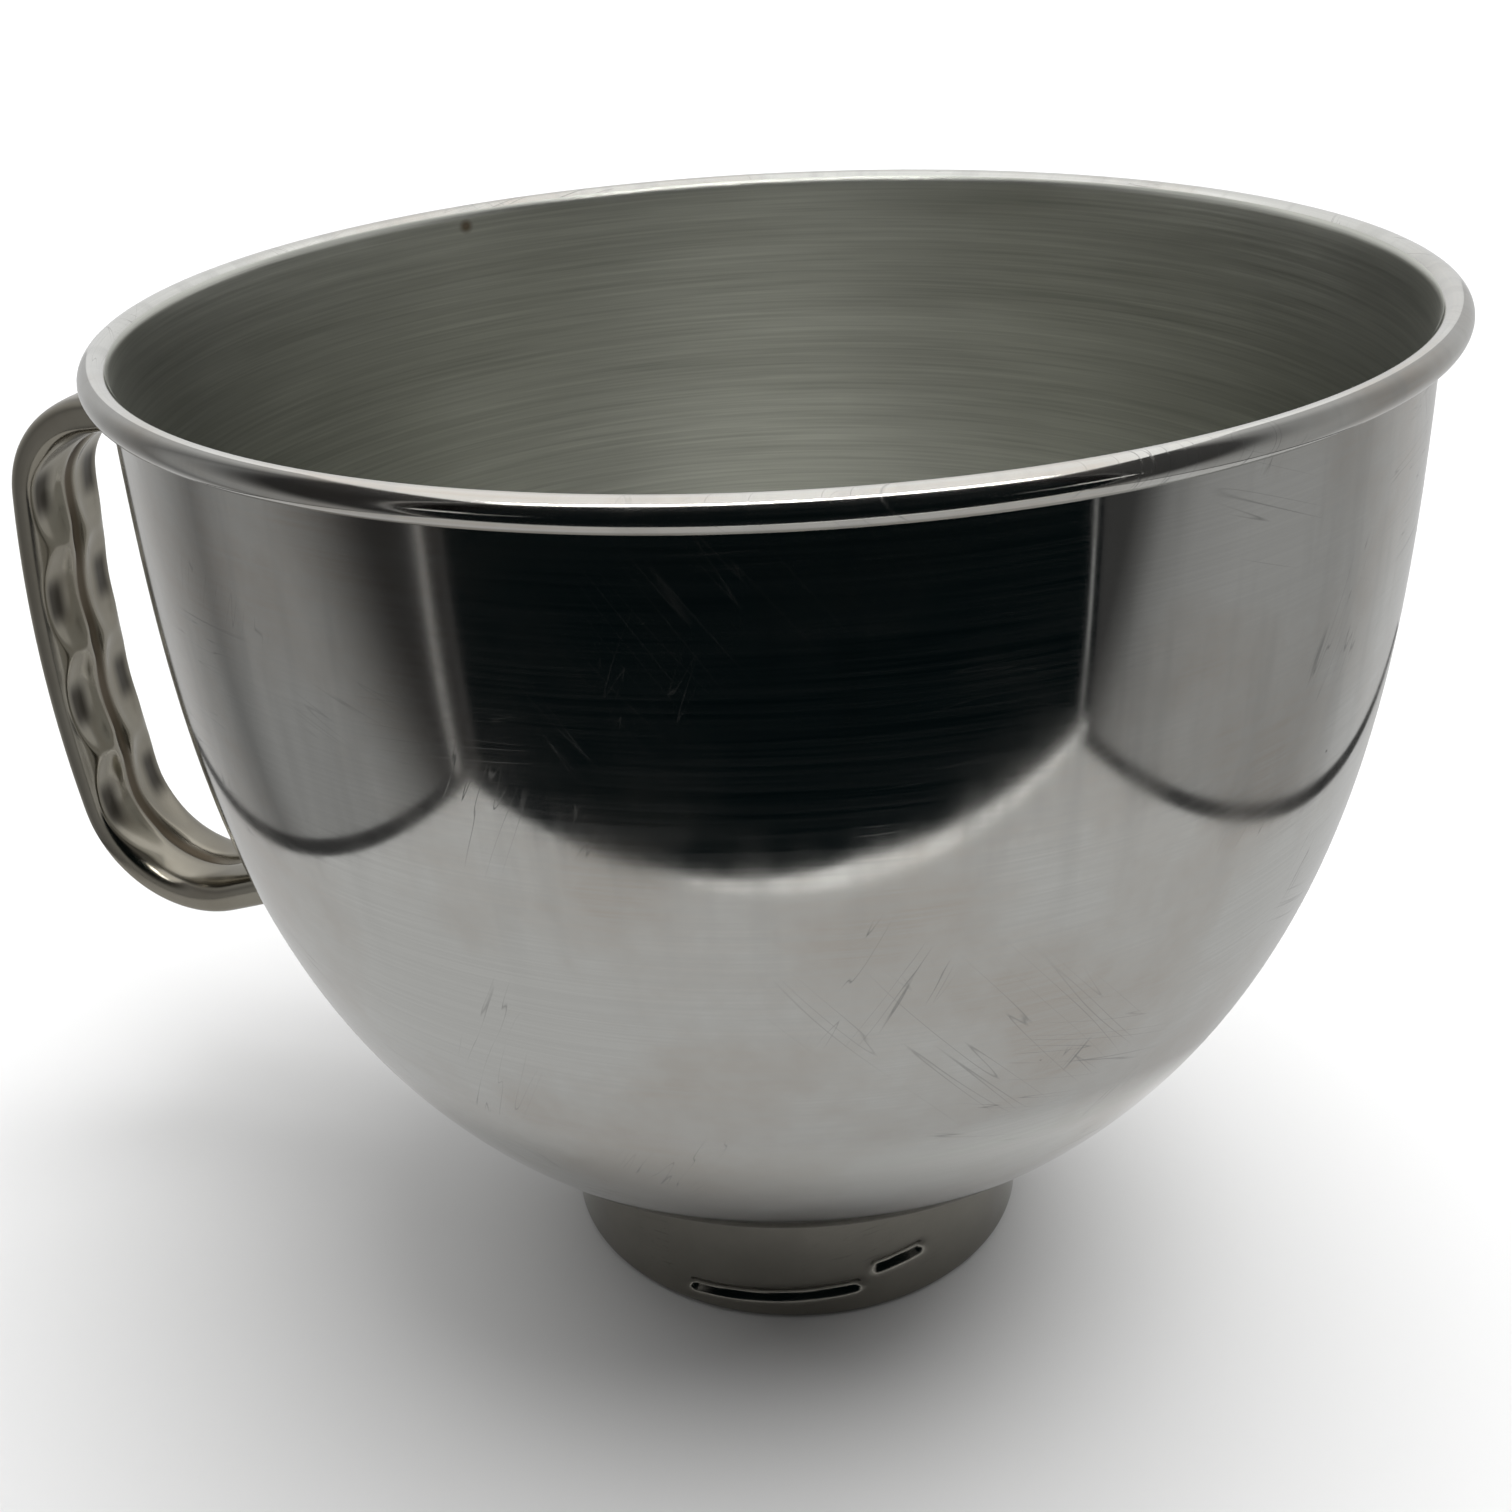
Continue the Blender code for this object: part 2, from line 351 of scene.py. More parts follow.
def own_place(tree):
    """Socket for a point's place in the object's own frame."""
    return add_node(tree, "ShaderNodeTexCoord").node.outputs["Object"]


def split(tree, vector):
    """The sockets "X", "Y" and "Z" of a vector."""
    return add_node(tree, "ShaderNodeSeparateXYZ", {0: vector}).node.outputs


def turned_coordinates(tree):
    """Sockets for a surface turned round the bowl's axis: (centred, around, along).

    Centred is the place measured from the axis. Around is the angle times a radius of
    100 mm, so that it is a length in metres, and along grows up the profile.
    """
    centred = add_node(
        tree, "ShaderNodeMapping", {0: own_place(tree), 1: (-AXIS_X, 0.0, 0.0)}
    )
    parts = split(tree, centred)
    angle = add_node(
        tree, "ShaderNodeMath", {0: parts["Y"], 1: parts["X"]}, operation="ARCTAN2"
    )
    around = times(tree, angle, 100 * MM)
    flat = add_node(tree, "ShaderNodeCombineXYZ", {0: parts["X"], 1: parts["Y"]})
    radius = add_node(tree, "ShaderNodeVectorMath", {0: flat}, operation="LENGTH")
    along = plus(tree, parts["Z"], radius.node.outputs["Value"])
    return centred, around, along


def turning_lines(tree, centred, along, spacing, length):
    """Fine lines that run round the axis: noise much longer around than along."""
    parts = split(tree, centred)
    x = times(tree, parts["X"], 1.0 / length)
    y = times(tree, parts["Y"], 1.0 / length)
    fine = times(tree, along, 1.0 / spacing)
    point = add_node(tree, "ShaderNodeCombineXYZ", {0: x, 1: y, 2: fine})
    return noise(tree, point, 1.0, 3.0, 0.6)


def scratches(tree, around, along, turn_deg, spacing, length, rarity):
    """Thin scratches in one direction: narrow bands of long noise, mostly masked away."""
    flat = add_node(tree, "ShaderNodeCombineXYZ", {0: around, 1: along})
    turned = add_node(
        tree,
        "ShaderNodeMapping",
        {0: flat, 2: (0.0, 0.0, math.radians(turn_deg)), 3: (length, spacing, 1.0)},
        vector_type="TEXTURE",  # turns first and then stretches
    )
    bands = noise(tree, turned, 1.0, 1.0)
    lines = ramp(tree, bands, [(0.494, 0.0), (0.5, 1.0), (0.506, 0.0)])
    # Each direction has its own scale of patches, so that the families part company.
    where = noise(tree, flat, 24.0 + turn_deg / 5.0, 1.0)
    mask = ramp(tree, where, [(rarity, 0.0), (rarity + 0.06, 1.0)])
    return times(tree, lines, mask)


def spot_distances(tree, around, along, spacing):
    """Distance to the nearest of many scattered spots, as a share of their spacing."""
    flat = add_node(tree, "ShaderNodeCombineXYZ", {0: around, 1: along})
    inputs = {"Vector": flat, "Scale": 1.0 / spacing, "Randomness": 1.0}
    return add_node(tree, "ShaderNodeTexVoronoi", inputs)


def water_smears(tree, around, along, centred):
    """Smears left by running water: 5 mm wide, drawn out downwards from the rim."""
    x = times(tree, around, 1.0 / (5 * MM))
    y = times(tree, along, 1.0 / (55 * MM))
    point = add_node(tree, "ShaderNodeCombineXYZ", {0: x, 1: y})
    runs = ramp(tree, noise(tree, point, 1.0, 3.0), [(0.50, 0.0), (0.66, 1.0)])
    height = split(tree, centred)["Z"]
    upper = spread(tree, height, 95 * MM, 165 * MM, smooth=True)
    return times(tree, runs, upper)


def finish_material(tree, colour, roughness, bump, height_mm, anisotropy):
    """The steel shader with its relief and anisotropy; run_grain_round turns the grain round
    the axis.
    """
    relief = add_node(
        tree,
        "ShaderNodeBump",
        {"Strength": 1.0, "Distance": height_mm * MM, "Height": bump},
    )
    inputs = {
        "Base Color": colour,
        "Roughness": roughness,
        "Metallic": 1.0,
        "Anisotropic": anisotropy,
        "Anisotropic Rotation": 0.25,
        "Normal": relief,
    }
    shader = add_node(tree, "ShaderNodeBsdfPrincipled", inputs)
    add_node(tree, "ShaderNodeOutputMaterial", {"Surface": shader})
    return shader.node


def run_grain_round(tree, centred, shader):
    """Stretches a shader's highlights across lines that run round the axis."""
    parts = split(tree, centred)
    back = times(tree, parts["Y"], -1.0)
    around = add_node(tree, "ShaderNodeCombineXYZ", {0: back, 1: parts["X"]})
    tangent = add_node(tree, "ShaderNodeVectorMath", {0: around}, operation="NORMALIZE")
    tree.links.new(tangent, shader.inputs["Tangent"])


# ------------------------------------------------------------------ finishes

# Families of scratches on the outside: direction in degrees, how far apart and how
# long, how rare from 0 to 1, and how strong.
OUTSIDE_SCRATCHES = (
    (3.0, 2.2 * MM, 60 * MM, 0.60, 0.6),
    (68.0, 2.6 * MM, 45 * MM, 0.61, 0.8),
    (-24.0, 3.6 * MM, 110 * MM, 0.57, 0.7),
    (-58.0, 4.2 * MM, 90 * MM, 0.59, 0.6),
)
MIRROR_ROUGHNESS = 0.045
SATIN_ROUGHNESS = 0.27
COLLAR_ROUGHNESS = 0.12
HANDLE_ROUGHNESS = 0.15
DULL_ROUGHNESS = 0.5
HANDLING_FILM = (0.86, 0.81, 0.77)  # warm film left by hands and hard water
PIT_COLOUR = (0.04, 0.035, 0.03)
SPOT_COLOUR = "#6b5236"
# Painted shade: dark in the outer half of each finger hollow.
HOLLOW_SHADE_COLOUR = "#3d3a35"
# Painted shade down the handle's seam, tinted brown.
SEAM_SHADE_COLOUR = "#54493a"


def polished_stainless(colours):
    """18/8 stainless steel, spun and buffed to a mirror, then used for years.

    Reflections stay sharp but are drawn out a little up and down by the buffing lines,
    and show hairline scratches, water marks and a few small pits.
    """
    material = new_material("mirror_buffed_stainless")
    tree = material.node_tree
    centred, around, along = turned_coordinates(tree)
    # Buffing lines are about 0.05 mm apart, drawn at 0.5 mm so that they show.
    lines = turning_lines(tree, centred, along, 0.5 * MM, 40 * MM)
    families = []
    for turn_deg, spacing, length, rarity, strength in OUTSIDE_SCRATCHES:
        family = scratches(tree, around, along, turn_deg, spacing, length, rarity)
        families.append((family, strength))
    marks = weighted(tree, 0.0, *families)
    haze = noise(tree, centred, 22.0, 5.0, 0.62)
    hazy = ramp(tree, haze, [(0.43, 0.0), (0.62, 1.0)])
    spots = spot_distances(tree, around, along, 26 * MM)
    pits = ramp(tree, spots, [(0.006, 1.0), (0.013, 0.0)])
    smear = water_smears(tree, around, along, centred)
    roughness = weighted(
        tree, MIRROR_ROUGHNESS, (hazy, 0.05), (marks, 0.12), (lines, 0.03), (smear, 0.02)
    )
    filmed = [share * part for share, part in zip(HANDLING_FILM, colours.polished)]
    tint = mixed(tree, hazy, colours.polished, filmed)
    streak = ramp(tree, lines, [(0.35, 0.0), (0.65, 1.0)])
    worn = dimmed(colours.polished, 0.93)
    tint = mixed(tree, times(tree, streak, 0.6), tint, worn)
    tint = mixed(tree, times(tree, smear, 0.4), tint, dimmed(worn, 0.8))
    tint = mixed(tree, marks, tint, dimmed(colours.polished, 0.5))
    tint = mixed(tree, pits, tint, PIT_COLOUR)
    relief = weighted(tree, 0.0, (lines, 0.10), (marks, -0.5), (pits, -2.0))
    shader = finish_material(tree, tint, roughness, relief, 0.006, 0.25)
    run_grain_round(tree, centred, shader)
    # Fine wear scatters a little light wide of the mirror image.
    wear = weighted(tree, 0.0, (streak, 0.035), (hazy, 0.03), (marks, 0.22))
    add_wide_haze(tree, shader, tint, wear)
    return material


def add_wide_haze(tree, shader, tint, share):
    """Mixes a share of a dull, wide reflection into a polished shader."""
    dull = add_node(
        tree,
        "ShaderNodeBsdfPrincipled",
        {"Base Color": tint, "Metallic": 1.0, "Roughness": DULL_ROUGHNESS},
    )
    both = add_node(
        tree, "ShaderNodeMixShader", {0: share, 1: shader.outputs[0], 2: dull}
    )
    output = next(node for node in tree.nodes if node.type == "OUTPUT_MATERIAL")
    tree.links.new(both, output.inputs["Surface"])


def satin_stainless(colours):
    """The same steel left satin inside, brushed round and round with a fine abrasive.

    It gives broad soft reflections, stretched across the brushing, and faint bands.
    """
    material = new_material("satin_brushed_stainless")
    tree = material.node_tree
    centred, around, along = turned_coordinates(tree)
    # The grit lines are about 0.1 mm apart, drawn at 0.7 mm so that they show.
    lines = turning_lines(tree, centred, along, 0.7 * MM, 55 * MM)
    bands = turning_lines(tree, centred, along, 6.0 * MM, 70 * MM)
    haze = noise(tree, centred, 30.0, 4.0, 0.6)
    shade = weighted(tree, 0.0, (lines, 0.6), (bands, 0.4))
    shade = ramp(tree, shade, [(0.30, 0.0), (0.70, 1.0)])
    tint = mixed(tree, shade, dimmed(colours.satin, 0.62), colours.satin)
    # A few brown spots, only just under the rim.
    spots = spot_distances(tree, around, along, 30 * MM)
    rust = ramp(tree, spots, [(0.02, 1.0), (0.06, 0.0)])
    near_rim = spread(tree, split(tree, centred)["Z"], 180 * MM, 184 * MM)
    rust = times(tree, rust, near_rim)
    tint = mixed(tree, times(tree, rust, 0.75), tint, linear(SPOT_COLOUR))
    roughness = weighted(tree, SATIN_ROUGHNESS, (shade, 0.06), (haze, 0.05))
    relief = plus(tree, lines, bands)
    shader = finish_material(tree, tint, roughness, relief, 0.012, 0.6)
    run_grain_round(tree, centred, shader)
    return material


def collar_stainless(colours):
    """Pressed stainless strip, polished and then dulled by the mixer's clamp plate."""
    material = new_material("worn_polished_stainless_with_painted_shade")
    tree = material.node_tree
    centred, around, along = turned_coordinates(tree)
    lines = turning_lines(tree, centred, along, 0.6 * MM, 30 * MM)
    hair = scratches(tree, around, along, 4.0, 1.2 * MM, 30 * MM, 0.50)
    haze = noise(tree, centred, 60.0, 5.0, 0.6)
    hazy = ramp(tree, haze, [(0.38, 0.0), (0.68, 1.0)])
    # Darker base colour, partly painted shade; the haze mix below darkens it at random.
    tint = mixed(tree, hazy, colours.collar, dimmed(colours.collar, 0.86))
    tint = mixed(tree, times(tree, hair, 0.6), tint, dimmed(colours.collar, 0.6))
    roughness = weighted(tree, COLLAR_ROUGHNESS, (hazy, 0.08), (hair, 0.1))
    relief = weighted(tree, 0.0, (lines, 0.3), (hair, -0.6), (haze, 3.0))
    shader = finish_material(tree, tint, roughness, relief, 0.006, 0.25)
    run_grain_round(tree, centred, shader)
    return material


def hollow_shade_mask(tree, parts, across):
    """1 in the outer half of each finger hollow, where the colour is darkened as painted
    shade.
    """
    turn = plus(tree, parts["Z"], -HOLLOW_TOP_HEIGHT)
    turn = times(tree, turn, 2.0 * math.pi / GRIP_PITCH)
    wave = add_node(tree, "ShaderNodeMath", {0: turn}, operation="COSINE")
    along = spread(tree, wave, -0.2, 0.9, smooth=True)
    share = times(tree, across, 1.0 / HALF_GRIP)
    aside = ramp(tree, share, [(0.36, 0.0), (0.58, 1.0), (0.76, 1.0), (0.92, 0.0)])
    return times(tree, along, aside)


def handle_stainless(colours):
    """Stainless sheet folded and buffed, warm with a film of tarnish.

    The tarnish lies in random patches. Down in the seam and in the outer half of each finger
    hollow the colour is darkened further as painted shade, brown in the seam.
    """
    material = new_material("tarnished_buffed_stainless_with_painted_shade")
    tree = material.node_tree
    place = own_place(tree)
    parts = split(tree, place)
    across = add_node(tree, "ShaderNodeMath", {0: parts["Y"]}, operation="ABSOLUTE")
    # Painted shade down the seam, on the faces towards the bowl; the seam is made rougher
    # too.
    seam = spread(tree, across, 0.7 * MM, 2.0 * MM, 1.0, 0.0, smooth=True)
    normal = add_node(tree, "ShaderNodeNewGeometry").node.outputs["Normal"]
    finger_side = spread(tree, split(tree, normal)["X"], -0.3, 0.2)
    seam = times(tree, seam, finger_side)
    film = ramp(tree, noise(tree, place, 45.0, 4.0, 0.6), [(0.40, 0.0), (0.66, 1.0)])
    tint = mixed(tree, times(tree, film, 0.35), colours.handle, colours.tarnish)
    # Painted shade in the outer half of each finger hollow.
    dull = times(tree, hollow_shade_mask(tree, parts, across), finger_side)
    tint = mixed(tree, times(tree, dull, 0.9), tint, linear(HOLLOW_SHADE_COLOUR))
    tint = mixed(tree, times(tree, seam, 0.85), tint, linear(SEAM_SHADE_COLOUR))
    # Buffing lines, drawn out up and down the grip.
    stretched = add_node(
        tree, "ShaderNodeMapping", {0: place, 3: (900.0, 900.0, 30.0)}
    )
    lines = noise(tree, stretched, 1.0, 2.0)
    roughness = weighted(tree, HANDLE_ROUGHNESS, (film, 0.08), (seam, 0.22))
    relief = weighted(tree, 0.0, (lines, 0.3), (film, 1.5))
    finish_material(tree, tint, roughness, relief, 0.006, 0.0)
    return material


# -------------------------------------------------------------------- pieces


def wall_radius_at(sizes, height):
    """Outside radius of the bowl's wall at a height above the floor."""
    depth = min(max(sizes.height - height, 0.0), sizes.draw_depth)
    return sizes.wall_radius * math.sqrt(1.0 - (depth / sizes.draw_depth) ** 3)


def wall_height_at(sizes, radius):
    """Height of the bowl's outside at a radius, without the dome in the bottom."""
    share = 1.0 - (radius / sizes.wall_radius) ** 2
    return sizes.height - sizes.draw_depth * share ** (1.0 / 3.0)


def outside_line(sizes):
    """(radius, height) up the bowl's outside, from the bottom's middle to the rim."""
    line = []
    # The low part is stepped by radius and the steep part by height.
    low_steps = 44
    turn_radius = 0.72 * sizes.wall_radius
    for step in range(low_steps + 1):
        radius = turn_radius * step / low_steps
        rise = 0.0
        if radius < sizes.punt_radius:
            share = math.cos(math.pi * radius / (2.0 * sizes.punt_radius)) ** 2
            rise = sizes.punt_rise * share
        line.append((radius, wall_height_at(sizes, radius) + rise))
    high_steps = 52
    start = line[-1][1]
    top = sizes.height - sizes.bead_radius
    for step in range(1, high_steps + 1):
        height = start + (top - start) * step / high_steps
        line.append((wall_radius_at(sizes, height), height))
    return line


def offset_line(line, distance):
    """A line of (radius, height) moved to its left by a distance."""
    moved = []
    last = len(line) - 1
    for index, (radius, height) in enumerate(line):
        before = line[max(index - 1, 0)]
        after = line[min(index + 1, last)]
        along = (after[0] - before[0], after[1] - before[1])
        length = math.hypot(*along)
        step_radius = -along[1] / length * distance if index else 0.0
        step_height = along[0] / length * distance if index else distance
        moved.append((radius + step_radius, height + step_height))
    return moved


def arc(centre, radius, first_deg, last_deg, steps):
    """Points on an arc, both ends with it."""
    points = []
    for step in range(steps + 1):
        angle = math.radians(first_deg + (last_deg - first_deg) * step / steps)
        x = centre[0] + radius * math.cos(angle)
        y = centre[1] + radius * math.sin(angle)
        points.append((x, y))
    return points


BOWL_TURN_STEPS = 288
CURL_END_DEG = -118.0  # the curl's edge, just off the wall
SATIN_REACH = 0.6 * MM  # how far the satin inside runs out over the rim


class MIXING_BOWL_OT_body(bpy.types.Operator):
    """Models the drawn bowl and its curled rim"""

    bl_idname = "mixing_bowl.body"
    bl_label = "Bowl body"

    def execute(self, context):
        sizes = context.scene.bowl_sizes
        colours = context.scene.steel_colours
        outside = outside_line(sizes)
        inside = offset_line(outside, sizes.sheet)
        centre = (sizes.rim_radius - sizes.bead_radius, sizes.height - sizes.bead_radius)
        # The sheet turns outwards over the rim and down.
        under = arc(centre, sizes.bead_radius - sizes.sheet, 180.0, CURL_END_DEG, 22)
        over = arc(centre, sizes.bead_radius, CURL_END_DEG, 180.0, 32)
        section = outside[:-1] + under + over + inside[-2::-1]
        piece = turn_on_axis("drawn_bowl", section, BOWL_TURN_STEPS)
        rim_foot = sizes.height - 2.0 * sizes.bead_radius
        polished_from = sizes.rim_radius - 2.0 * sizes.bead_radius + SATIN_REACH

        def slot_at(polygon):
            place = polygon.center
            out = Vector((place.x - AXIS_X, place.y, 0.0))
            radius = out.length
            if radius > polished_from and place.z > rim_foot:
                return 0
            outward = polygon.normal.dot(out) / max(radius, TIDY)
            return 1 if outward < 0.0 or polygon.normal.z > 0.5 else 0

        materials = [polished_stainless(colours), satin_stainless(colours)]
        give_materials(piece, materials, slot_at)
        finish_piece(piece, "bowl_body")
        return {"FINISHED"}


GROOVE_SETS = 3
SET_START_DEG = -98.7  # direction of the first set's lower end
# Each groove: sweep and offset in degrees, heights of its two ends, and half its width.
GROOVES = (
    (40.0, 0.0, 5.0 * MM, 6.9 * MM, 2.2 * MM),
    (11.0, 45.5, 10.6 * MM, 11.6 * MM, 2.3 * MM),
)
GROOVE_SLOPE = 2.5 * MM  # from the wall to a groove's full depth
FOOT_STEP = 0.5 * MM
FOOT_POINTS = 9
COLLAR_WALL_STEPS = 44
COLLAR_TURN_STEPS = 420


class MIXING_BOWL_OT_collar(bpy.types.Operator):
    """Models the pressed collar with the sloping grooves of its twist lock"""

    bl_idname = "mixing_bowl.collar"
    bl_label = "Twist-lock collar"

    def execute(self, context):
        sizes = context.scene.collar_sizes
        bowl = context.scene.bowl_sizes
        corner = (sizes.radius - sizes.corner, sizes.corner)
        top = wall_height_at(bowl, sizes.radius)
        foot = [sizes.foot_inner + part * FOOT_STEP for part in range(FOOT_POINTS)]
        section = [(radius, 0.0) for radius in foot]
        section += arc(corner, sizes.corner, -90.0, 0.0, 10)
        rise = top - sizes.corner
        for step in range(1, COLLAR_WALL_STEPS + 1):
            height = sizes.corner + rise * step / COLLAR_WALL_STEPS
            section.append((sizes.radius, height))
        piece = turn_on_axis("twist_lock_collar", section, COLLAR_TURN_STEPS)

        def groove_share(place):
            angle = math.degrees(math.atan2(place.y, place.x - AXIS_X))
            spacing = 360.0 / GROOVE_SETS
            local = (angle - SET_START_DEG) % spacing
            deepest = 0.0
            for sweep, offset, low, high, half in GROOVES:
                run = local - offset
                if run > spacing / 2:
                    run -= spacing
                share = min(max(run / sweep, 0.0), 1.0)
                middle = low + (high - low) * share
                past = math.radians(run - share * sweep) * sizes.radius
                distance = math.hypot(past, place.z - middle)
                deepest = max(deepest, smooth_step((half - distance) / GROOVE_SLOPE))
            return deepest

        press(piece, "grooves", sizes.groove_depth, "NORMAL", groove_share)
        wall = piece.modifiers.new("wall", "SOLIDIFY")
        wall.thickness = sizes.sheet
        wall.offset = -1.0
        apply_modifier(piece, wall)
        give_materials(piece, [collar_stainless(context.scene.steel_colours)], None)
        finish_piece(piece, "base_collar")
        return {"FINISHED"}


# The handle's centre line runs out from the wall, round three bends and back in.
# Places are (distance from the bowl's axis, height).
HANDLE_TOP_HEIGHT = 167.0 * MM
HANDLE_LOW_END = (93.6 * MM, 65.5 * MM)  # just short of the wall
TOP_LEG = 29.8 * MM  # from the wall to the first bend
TOP_LEG_FALL_DEG = 7.4
LOW_LEG_RISE_DEG = 18.5
TOP_BEND = 20.0 * MM
LOW_BEND = 23.0 * MM
GRIP_TURN_DEG = 17.0  # the grip is a long, shallow bend
TOP_TURN_DEG = 74.6
HOLLOW_COUNT = 4
HOLLOW_TOP_HEIGHT = 146.0 * MM
HOLLOW_ASIDE = 5.8 * MM  # middle of a hollow, from the seam
HOLLOW_HALF_WIDTH = 6.2 * MM
HOLLOW_HALF_HEIGHT = 13.0 * MM
HOLLOW_FADE = 3.0 * MM  # from the centre line to a hollow's full depth
TOP_LEG_STEPS = 12
BEND_STEPS = (24, 96, 34)
LOW_LEG_STEPS = 30
SECTION_POINTS = 96
# The outline's powers, where 1 is an ellipse and less is squarer.
FINGER_SIDE_POWER = 2.0 / 2.7
OUTER_SIDE_POWER = 2.0 / 4.0
SEAM_HALF_WIDTH = 0.19  # as a share of the section's half width


class Bend:
    """An arc of the handle's line that turns downwards and back towards the bowl."""

    def __init__(self, start, heading_deg, radius, turn_deg):
        self.start = Vector(start)
        self.radius = radius
        self.turn = math.radians(turn_deg)
        heading = math.radians(heading_deg)
        right = Vector((math.sin(heading), -math.cos(heading)))
        self.centre = self.start + radius * right
        self.end_heading_deg = heading_deg - turn_deg
        heading -= self.turn
        right = Vector((math.sin(heading), -math.cos(heading)))
        self.end = self.centre - radius * right


def handle_bends(top_end):
    """The top bend, the grip and the low bend, sized to end on the low leg."""
    first = -TOP_LEG_FALL_DEG
    leg = Vector((math.cos(math.radians(first)), math.sin(math.radians(first))))
    top = Bend(Vector(top_end) + TOP_LEG * leg, first, TOP_BEND, TOP_TURN_DEG)
    grip = Bend((0.0, 0.0), top.end_heading_deg, 1.0, GRIP_TURN_DEG)
    low_turn = grip.end_heading_deg + 180.0 + LOW_LEG_RISE_DEG
    low = Bend((0.0, 0.0), grip.end_heading_deg, LOW_BEND, low_turn)
    # The grip's radius and the low leg's length close the gap to the low end.
    rise = math.radians(LOW_LEG_RISE_DEG)
    back = Vector((-math.cos(rise), math.sin(rise)))
    gap = Vector(HANDLE_LOW_END) - top.end - low.end
    area = grip.end.cross(back)
    radius = gap.cross(back) / area
    grip = Bend(top.end, top.end_heading_deg, radius, GRIP_TURN_DEG)
    return top, grip, Bend(grip.end, grip.end_heading_deg, LOW_BEND, low_turn)


def handle_place(point, across=0.0):
    """A point of the handle's line, (distance, height), in the frame."""
    return Vector((AXIS_X - point[0], across, point[1]))


def handle_outline(sizes):
    """Outline of the section as (across, outwards), rolled in at the seam."""
    outline = []
    for step in range(SECTION_POINTS):
        turn = 2.0 * math.pi * step / SECTION_POINTS
        power = FINGER_SIDE_POWER if math.cos(turn) > 0.0 else OUTER_SIDE_POWER
        across = math.copysign(abs(math.sin(turn)) ** power, math.sin(turn))
        out = -math.copysign(abs(math.cos(turn)) ** power, math.cos(turn))
        out *= sizes.thickness / 2
        if math.cos(turn) > 0.0:
            out += sizes.seam_sink * (1.0 - smooth_step(abs(across) / SEAM_HALF_WIDTH))
        outline.append((across * sizes.width / 2, out))
    return outline


class MIXING_BOWL_OT_handle(bpy.types.Operator):
    """Models the folded handle with its seam and finger hollows"""

    bl_idname = "mixing_bowl.handle"
    bl_label = "Handle"

    def execute(self, context):
        sizes = context.scene.handle_sizes
        bowl = context.scene.bowl_sizes
        top_end = (wall_radius_at(bowl, HANDLE_TOP_HEIGHT), HANDLE_TOP_HEIGHT)
        bends = handle_bends(top_end)
        top, _, low = bends
        along = (top.start - Vector(top_end)).normalized()
        outwards = Vector((-along.y, along.x))
        outline = []
        for across, out in handle_outline(sizes):
            point = Vector(top_end) + outwards * out
            outline.append(handle_place(point, across))
        piece = draw_line("finger_grip_handle", outline + outline[:1])
        bpy.ops.mesh.remove_doubles(threshold=TIDY)

        def go_straight(start, end, steps):
            move = (handle_place(end) - handle_place(start)) / steps
            for _ in range(steps):
                extrude_by(move)

        go_straight(top_end, top.start, TOP_LEG_STEPS)
        for bend, steps in zip(bends, BEND_STEPS):
            bpy.ops.mesh.spin(
                steps=steps,
                angle=bend.turn,
                center=handle_place(bend.centre),
                axis=(0.0, 1.0, 0.0),
            )
        go_straight(low.end, HANDLE_LOW_END, LOW_LEG_STEPS)
        close_and_face_outwards()
        self.fit_ends(piece)
        self.press_hollows(piece, sizes, bends)
        give_materials(piece, [handle_stainless(context.scene.steel_colours)], None)
        finish_piece(piece, "handle")
        return {"FINISHED"}

    def fit_ends(self, piece):
        """Runs both open ends to the bowl's wall and caps them."""
        bpy.context.view_layer.objects.active = piece
        bpy.ops.object.mode_set(mode="EDIT")
        bpy.ops.mesh.select_all(action="DESELECT")
        bpy.ops.mesh.select_mode(type="EDGE")
        bpy.ops.mesh.select_non_manifold(extend=False)
        bpy.ops.object.mode_set(mode="OBJECT")
        ends = piece.vertex_groups.new(name="ends")
        ends.add([v.index for v in piece.data.vertices if v.select], 1.0, "REPLACE")
        fit = piece.modifiers.new("fit", "SHRINKWRAP")
        fit.target = bpy.data.objects["drawn_bowl"]
        fit.vertex_group = "ends"
        fit.wrap_method = "NEAREST_SURFACEPOINT"
        fit.wrap_mode = "ON_SURFACE"
        apply_modifier(piece, fit)
        piece.vertex_groups.remove(piece.vertex_groups["ends"])
        bpy.ops.object.mode_set(mode="EDIT")
        bpy.ops.mesh.fill_holes(sides=0)
        bpy.ops.mesh.select_all(action="SELECT")
        bpy.ops.mesh.normals_make_consistent(inside=False)
        bpy.ops.mesh.select_mode(type="VERT")
        bpy.ops.object.mode_set(mode="OBJECT")

    def press_hollows(self, piece, sizes, bends):
        """Two rows of finger hollows, one each side of the seam."""
        top, grip, low = bends

        def hollow_share(place):
            distance = AXIS_X - place.x
            bend = top if place.z > grip.start.y else grip
            bend = low if place.z < grip.end.y else bend
            # How far the point lies to the finger side of the handle's centre line.
            inside = bend.radius - (Vector((distance, place.z)) - bend.centre).length
            if distance < top.centre.x or inside < 0.0:
                return 0.0
            deepest = 0.0
            for count in range(HOLLOW_COUNT):
                height = HOLLOW_TOP_HEIGHT - count * sizes.grip_pitch
                up = (place.z - height) / HOLLOW_HALF_HEIGHT
                side = (abs(place.y) - HOLLOW_ASIDE) / HOLLOW_HALF_WIDTH
                deepest = max(deepest, smooth_step(1.0 - up * up - side * side))
            return deepest * smooth_step(inside / HOLLOW_FADE)

        press(piece, "hollows", sizes.grip_depth, "X", hollow_share)


# --------------------------------------------------------------------- stage


# The bowl stands in a light tent: a white cube with its front open to a dark room.
TENT_TURN_DEG = 18.0  # the tent's front faces the camera, not the handle
TENT_HALF = 252.0 * MM
TENT_FRONT = 257.0 * MM
TENT_HEIGHT = 500.0 * MM
